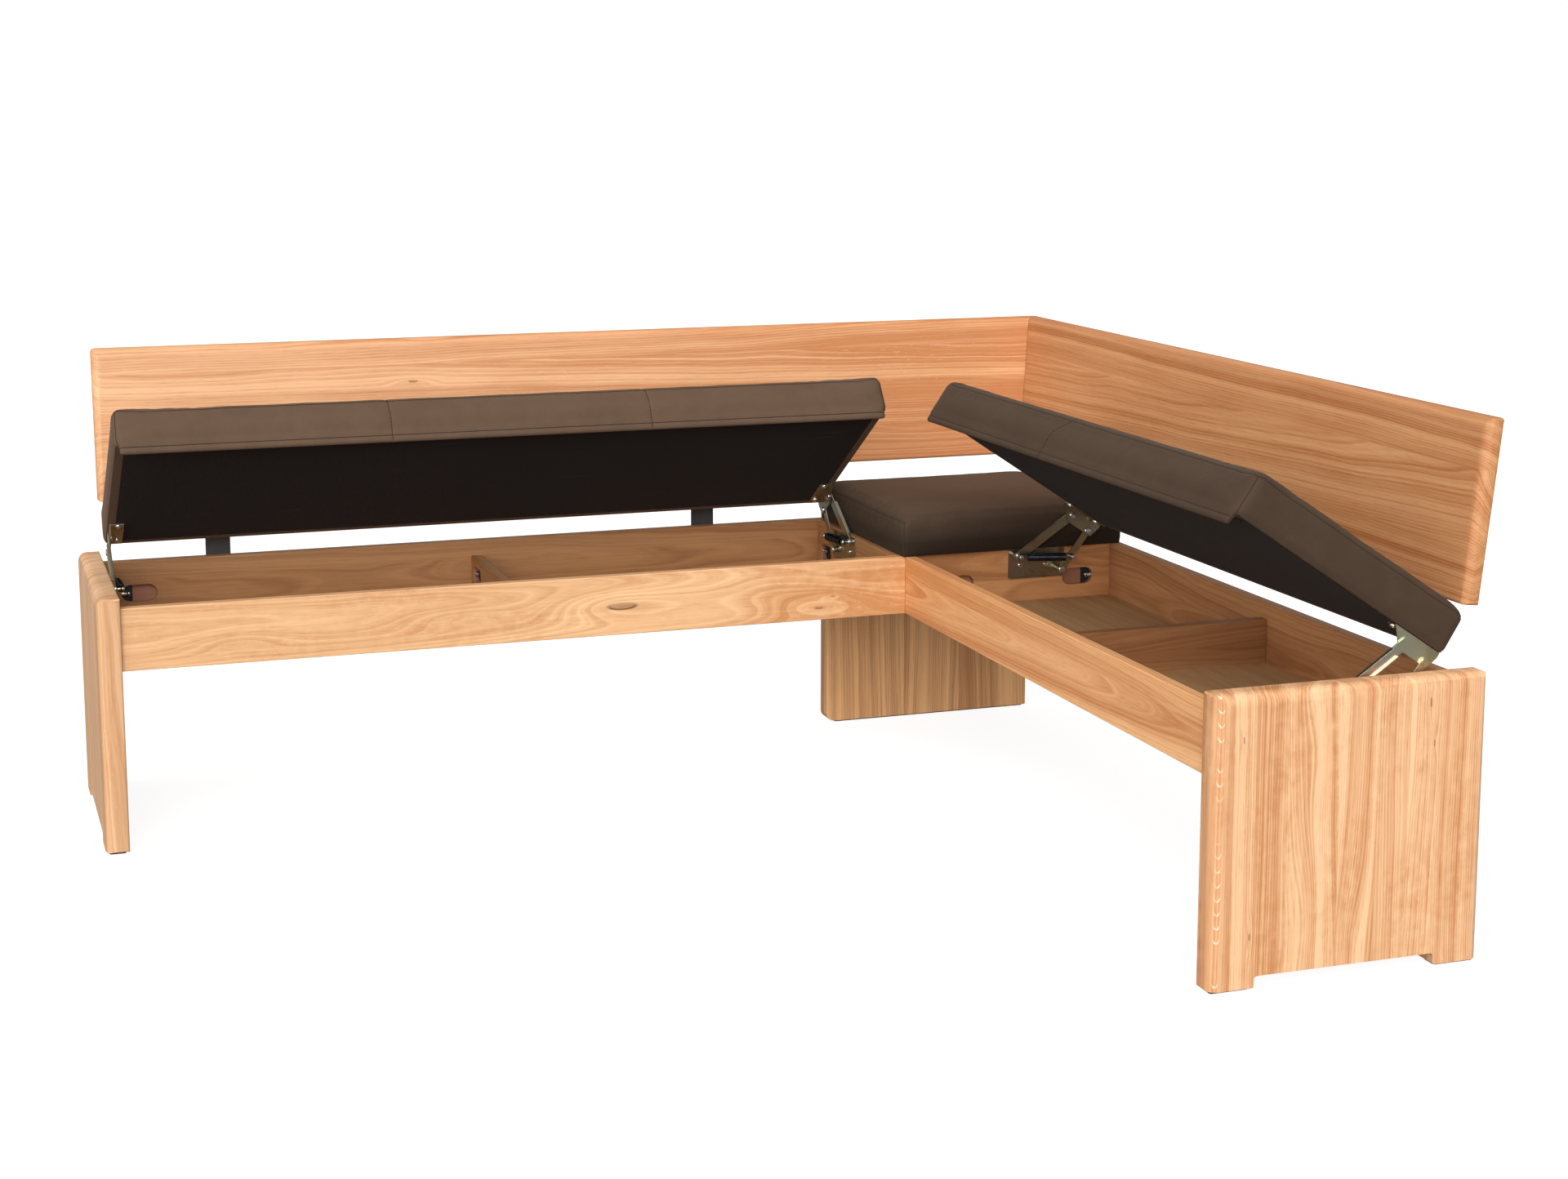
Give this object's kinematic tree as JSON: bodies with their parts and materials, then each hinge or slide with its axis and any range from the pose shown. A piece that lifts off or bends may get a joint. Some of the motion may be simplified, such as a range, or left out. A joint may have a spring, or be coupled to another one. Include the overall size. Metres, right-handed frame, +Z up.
{
  "type": "corner storage bench",
  "caption": "L-shaped wooden corner bench with leaning backrests, upholstered lift-up seats on sprung hinges over storage boxes, and a fixed corner seat.",
  "frame": {"origin": "middle of the outline in plan, on the floor", "axes": "+X along the long side towards the corner, +Y from the seat's front to the back of the long side, +Z up; the short side runs from the corner towards -Y"},
  "size_m": [1.9646, 1.7096, 0.8271],
  "materials": {
    "oak": "satin",
    "inner_oak": "satin",
    "bottom_board": "matte",
    "plywood": "matte",
    "upholstery": "matte",
    "lining": "matte",
    "zinc": "satin",
    "spring_steel": "satin",
    "dark_steel": "satin",
    "glide": "matte",
    "socket": "satin"
  },
  "bodies": {
    "bench": {"long_front_rail": "oak", "long_back_rail": "inner_oak", "long_back_rail_connector": "socket", "long_end_panel": "oak", "long_front_glide": "glide", "long_rear_glide": "glide", "long_inner_bottom": "bottom_board", "long_outer_bottom": "bottom_board", "long_divider": "inner_oak", "long_divider_connector": "socket", "long_backrest": "oak", "long_outer_backrest_bracket": "dark_steel", "long_inner_backrest_bracket": "dark_steel", "long_outer_base_plate": "zinc", "long_outer_spring": "spring_steel", "long_corner_base_plate": "zinc", "long_corner_spring": "spring_steel", "short_front_rail": "oak", "short_back_rail": "inner_oak", "short_end_panel": "oak", "short_front_glide": "glide", "short_rear_glide": "glide", "short_inner_bottom": "bottom_board", "short_outer_bottom": "bottom_board", "short_divider": "inner_oak", "short_backrest": "oak", "short_outer_backrest_bracket": "dark_steel", "short_inner_backrest_bracket": "dark_steel", "short_outer_base_plate": "zinc", "short_outer_spring": "spring_steel", "short_corner_base_plate": "zinc", "short_corner_spring": "spring_steel", "corner_leg_panel": "inner_oak", "corner_leg_glide": "glide", "corner_side_panel": "inner_oak", "corner_side_connector": "socket", "corner_front_panel": "inner_oak", "corner_front_connector_left": "socket", "corner_front_connector_right": "socket", "corner_bottom": "bottom_board", "corner_seat_board": "plywood", "corner_seat_cushion": "upholstery"},
    "long_front_links": {"long_outer_front_link": "zinc", "long_corner_front_link": "zinc"},
    "long_rear_links": {"long_outer_rear_link": "zinc", "long_corner_rear_link": "zinc"},
    "long_lid": {"long_lid_cushion": "upholstery", "long_lid_board": "plywood", "long_lid_lining": "lining", "long_outer_lid_bracket": "zinc", "long_corner_lid_bracket": "zinc"},
    "short_front_links": {"short_outer_front_link": "zinc", "short_corner_front_link": "zinc"},
    "short_rear_links": {"short_outer_rear_link": "zinc", "short_corner_rear_link": "zinc"},
    "short_lid": {"short_lid_cushion": "upholstery", "short_lid_board": "plywood", "short_lid_lining": "lining", "short_outer_lid_bracket": "zinc", "short_corner_lid_bracket": "zinc"}
  },
  "joints": [
    {"name": "long_front_link_pivot", "type": "hinge", "parent": "bench", "child": "long_front_links", "pos_m": [-0.23226, 0.59424, 0.42], "axis": [1, 0, 0], "range_deg": [-35.71, 0.01]},
    {"name": "long_lid_pivot", "type": "hinge", "parent": "long_front_links", "child": "long_lid", "pos_m": [-0.23226, 0.70442, 0.49339], "axis": [1, 0, 0], "range_deg": [0, 69.15]},
    {"name": "long_rear_link_pivot", "type": "hinge", "parent": "bench", "child": "long_rear_links", "pos_m": [-0.23226, 0.68424, 0.389], "axis": [1, 0, 0], "range_deg": [-42.83, 0.01], "deforming": ["long_outer_spring", "long_corner_spring"]},
    {"name": "short_front_link_pivot", "type": "hinge", "parent": "bench", "child": "short_front_links", "pos_m": [0.72174, -0.21926, 0.42], "axis": [0, -1, 0], "range_deg": [-35.71, 0.01]},
    {"name": "short_lid_pivot", "type": "hinge", "parent": "short_front_links", "child": "short_lid", "pos_m": [0.83192, -0.21926, 0.49339], "axis": [0, -1, 0], "range_deg": [0, 69.15]},
    {"name": "short_rear_link_pivot", "type": "hinge", "parent": "bench", "child": "short_rear_links", "pos_m": [0.81174, -0.21926, 0.389], "axis": [0, -1, 0], "range_deg": [-42.83, 0.01], "deforming": ["short_outer_spring", "short_corner_spring"]}
  ],
  "couplings": [
    {"joint": "long_front_link_pivot", "follows": "long_lid_pivot", "ratio": -0.51624},
    {"joint": "long_rear_link_pivot", "follows": "long_lid_pivot", "ratio": -0.61923},
    {"joint": "short_front_link_pivot", "follows": "short_lid_pivot", "ratio": -0.51624},
    {"joint": "short_rear_link_pivot", "follows": "short_lid_pivot", "ratio": -0.61923}
  ]
}
